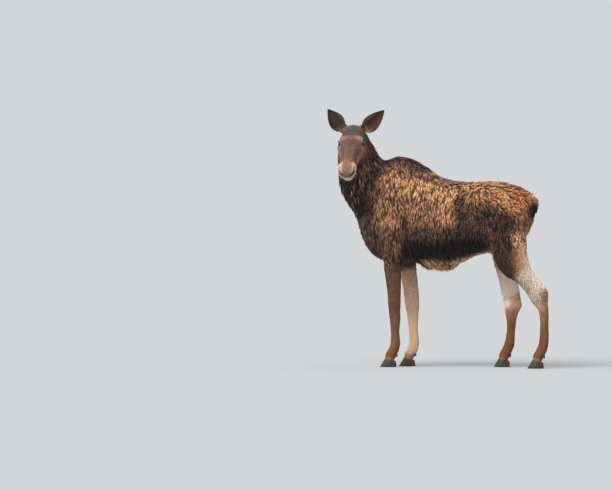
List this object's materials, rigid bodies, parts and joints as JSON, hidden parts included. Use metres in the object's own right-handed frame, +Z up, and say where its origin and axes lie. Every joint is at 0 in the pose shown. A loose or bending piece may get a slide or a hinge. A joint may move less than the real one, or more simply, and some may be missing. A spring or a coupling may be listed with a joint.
{
  "type": "standing moose model",
  "caption": "Life-size still model of a standing antlerless moose, its head turned to its left to look at the viewer.",
  "frame": {"origin": "on the floor, under the middle of the whole animal's bounding box", "axes": "+X towards the animal's left side, +Y towards its tail, +Z up; it faces -Y and its head is turned to +X"},
  "size_m": [0.897, 1.9364, 2.1828],
  "materials": {
    "coat": "matte coarse hair, brown with golden brown flanks",
    "neck_hair": "matte long dark brown hair",
    "face_hair": "matte short brown hair",
    "muzzle_hair": "matte short pale grey-brown hair",
    "ear_hair": "matte short brown hair",
    "leg_hair": "matte short pale grey hair",
    "claw_horn": "satin dark horn",
    "eye": "wet glossy dark brown"
  },
  "bodies": {
    "root": {"trunk": "coat", "neck": "neck_hair", "head": "face_hair", "muzzle": "muzzle_hair", "foreleg_left_upper": "coat", "foreleg_left_lower": "leg_hair", "foreleg_right_upper": "coat", "foreleg_right_lower": "leg_hair", "hindleg_left_upper": "coat", "hindleg_left_lower": "leg_hair", "hindleg_right_upper": "coat", "hindleg_right_lower": "leg_hair", "foreleg_left_claw_outer": "claw_horn", "foreleg_left_dewclaw_outer": "claw_horn", "foreleg_left_claw_inner": "claw_horn", "foreleg_left_dewclaw_inner": "claw_horn", "foreleg_right_claw_outer": "claw_horn", "foreleg_right_dewclaw_outer": "claw_horn", "foreleg_right_claw_inner": "claw_horn", "foreleg_right_dewclaw_inner": "claw_horn", "hindleg_left_claw_outer": "claw_horn", "hindleg_left_dewclaw_outer": "claw_horn", "hindleg_left_claw_inner": "claw_horn", "hindleg_left_dewclaw_inner": "claw_horn", "hindleg_right_claw_outer": "claw_horn", "hindleg_right_dewclaw_outer": "claw_horn", "hindleg_right_claw_inner": "claw_horn", "hindleg_right_dewclaw_inner": "claw_horn", "tail": "coat", "ear_left": "ear_hair", "eye_left": "eye", "ear_right": "ear_hair", "eye_right": "eye"}
  },
  "joints": []
}
